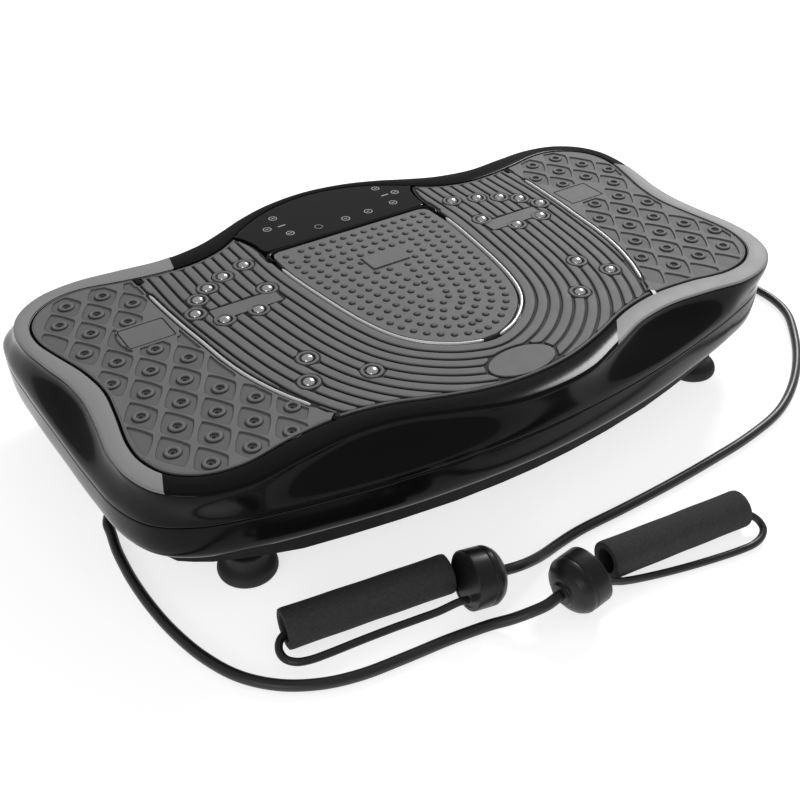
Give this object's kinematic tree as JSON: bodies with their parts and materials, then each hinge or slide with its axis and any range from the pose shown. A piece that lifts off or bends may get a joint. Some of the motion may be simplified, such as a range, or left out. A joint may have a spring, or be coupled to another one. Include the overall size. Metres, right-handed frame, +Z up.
{
  "type": "vibration plate",
  "caption": "Low oblong vibration platform with a rocking deck, ridged grey foot mat, dark touch panel and pull bands with foam grips.",
  "frame": {"origin": "on the floor under the middle of the plate", "axes": "+X along the plate's long side, +Y towards the control panel, +Z up"},
  "size_m": [0.7467, 0.5395, 0.1234],
  "materials": {
    "gloss_black": "polished moulded plastic",
    "tray_black": "fine grained moulded plastic",
    "mat_grey": "matt moulded rubber with a raised pattern",
    "silver": "satin silver paint",
    "bright_trim": "bright plated",
    "panel_glass": "glossy tinted window, printed from behind",
    "rubber": "matt",
    "steel": "machined",
    "cast_alloy": "die cast",
    "hook_metal": "zinc plated",
    "circuit_board": "solder mask",
    "band_cord": "smooth elastic cord",
    "grip_foam": "closed cell foam"
  },
  "bodies": {
    "base": {"base_tray": "tray_black", "foot_front_left": "rubber", "foot_front_right": "rubber", "foot_rear_left": "rubber", "foot_rear_right": "rubber", "bump_stop_front_left": "rubber", "bump_stop_front_right": "rubber", "bump_stop_rear_left": "rubber", "bump_stop_rear_right": "rubber", "pivot_block_front": "cast_alloy", "pivot_block_rear": "cast_alloy", "shaft_block_front": "cast_alloy", "shaft_block_rear": "cast_alloy", "motor": "steel", "motor_bracket": "steel", "drive_belt": "rubber", "control_board": "circuit_board", "power_inlet": "tray_black", "switch_housing": "tray_black", "band_eye_left": "steel", "hook_left": "hook_metal", "band_left": "band_cord", "bell_left": "gloss_black", "loop_left": "band_cord", "band_eye_right": "steel", "hook_right": "hook_metal", "band_right": "band_cord", "bell_right": "gloss_black", "loop_right": "band_cord"},
    "deck": {"deck_plate": "steel", "pivot_axle": "steel", "link_pin": "steel", "top_cover": "gloss_black", "lower_skirt": "gloss_black", "foot_mat": "mat_grey", "middle_pad": "mat_grey", "panel_bezel": "gloss_black", "panel_lens": "panel_glass", "display_board": "circuit_board", "rim_band_left": "silver", "side_trim_left": "bright_trim", "arc_trim_left": "bright_trim", "magnet_set_left": "bright_trim", "rim_band_right": "silver", "side_trim_right": "bright_trim", "arc_trim_right": "bright_trim", "magnet_set_right": "bright_trim"},
    "drive_links": {"drive_link_front": "cast_alloy", "drive_link_rear": "cast_alloy"},
    "crank": {"eccentric_shaft": "steel", "driven_pulley": "steel"},
    "motor_rotor": {"motor_pulley": "steel"},
    "rocker": {"power_rocker": "tray_black"},
    "left_gate": {"hook_gate_left": "hook_metal"},
    "right_gate": {"hook_gate_right": "hook_metal"},
    "left_grip": {"grip_left": "grip_foam"},
    "right_grip": {"grip_right": "grip_foam"}
  },
  "joints": [
    {"name": "deck_rock", "type": "hinge", "parent": "base", "child": "deck", "pos_m": [0, 0, 0.08], "axis": [0, 1, 0], "range_deg": [-1.2, 1.2]},
    {"name": "link_swing", "type": "hinge", "parent": "deck", "child": "drive_links", "pos_m": [0.1, 0, 0.094], "axis": [0, 1, 0], "range_deg": [-1.2, 1.2]},
    {"name": "crank_spin", "type": "hinge", "parent": "base", "child": "crank", "pos_m": [0.1, 0, 0.058], "axis": [0, 1, 0], "continuous": true},
    {"name": "motor_spin", "type": "hinge", "parent": "base", "child": "motor_rotor", "pos_m": [0.205, 0, 0.06], "axis": [0, 1, 0], "continuous": true},
    {"name": "rocker_tilt", "type": "hinge", "parent": "base", "child": "rocker", "pos_m": [0.024, 0.1874, 0.037], "axis": [0, 0, 1], "range_deg": [0, 16]},
    {"name": "left_gate_swing", "type": "hinge", "parent": "base", "child": "left_gate", "pos_m": [0.31036, 0.01158, 0.019], "axis": [-0.1392, -0.9903, 0], "range_deg": [0, 25], "stiffness_Nm_per_rad": 0.03, "springref_deg": -11.46},
    {"name": "right_gate_swing", "type": "hinge", "parent": "base", "child": "right_gate", "pos_m": [-0.2983, -0.0063, 0.019], "axis": [-0.866, 0.5, 0], "range_deg": [0, 25], "stiffness_Nm_per_rad": 0.03, "springref_deg": -11.46},
    {"name": "left_grip_spin", "type": "hinge", "parent": "base", "child": "left_grip", "pos_m": [-0.1858, -0.22495, 0.0158], "axis": [0.9909, -0.1346, 0], "continuous": true},
    {"name": "right_grip_spin", "type": "hinge", "parent": "base", "child": "right_grip", "pos_m": [0.05265, -0.29695, 0.0158], "axis": [-0.9868, 0.1617, 0], "continuous": true}
  ],
  "couplings": [
    {"joint": "link_swing", "follows": "deck_rock", "ratio": -1},
    {"joint": "motor_spin", "follows": "crank_spin", "ratio": 2.1667}
  ]
}
